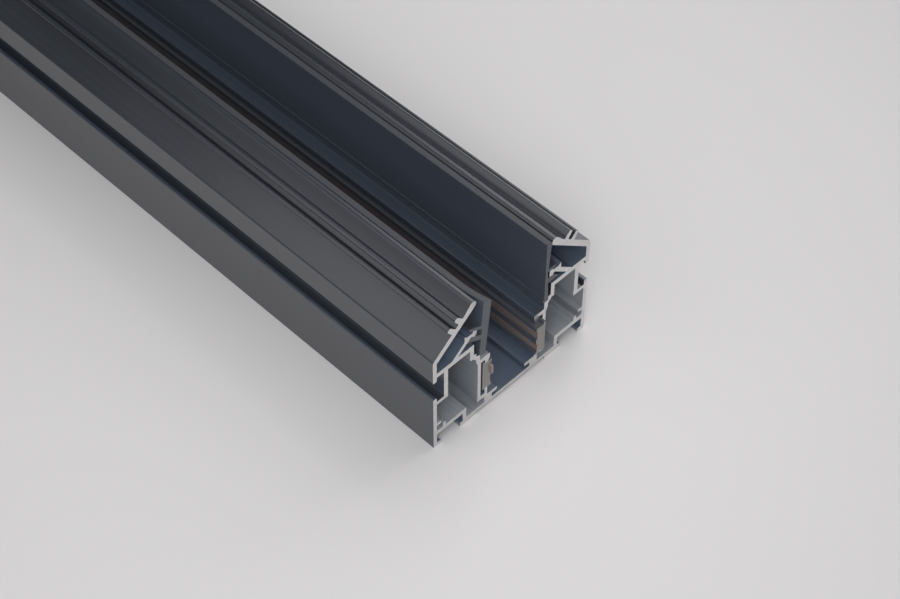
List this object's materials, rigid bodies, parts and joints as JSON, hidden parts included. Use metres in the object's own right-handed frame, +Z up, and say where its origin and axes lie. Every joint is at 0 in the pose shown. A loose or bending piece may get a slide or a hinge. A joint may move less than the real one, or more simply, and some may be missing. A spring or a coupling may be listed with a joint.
{
  "type": "recessed lighting track",
  "caption": "Length of recessed lighting track: a coated aluminium extrusion with hollow sides and sloping plaster flanges, plastic cover strips and copper conductors in its channel.",
  "frame": {"origin": "middle of the underside, half-way along the length", "axes": "+Z up out of the channel's mouth, +Y along the length away from the end with the loose pieces, +X across the track"},
  "size_m": [0.064, 1.0026, 0.053],
  "materials": {
    "coated_aluminium": "satin",
    "black_plastic": "matte",
    "grey_plastic": "matte",
    "copper": "satin"
  },
  "bodies": {
    "root": {"track_extrusion": "coated_aluminium", "left_cover_strip": "black_plastic", "right_cover_strip": "black_plastic", "left_conductor_carrier": "grey_plastic", "right_conductor_carrier": "grey_plastic", "left_upper_conductor": "copper", "left_lower_conductor": "copper", "right_upper_conductor": "copper", "right_lower_conductor": "copper"}
  },
  "joints": []
}
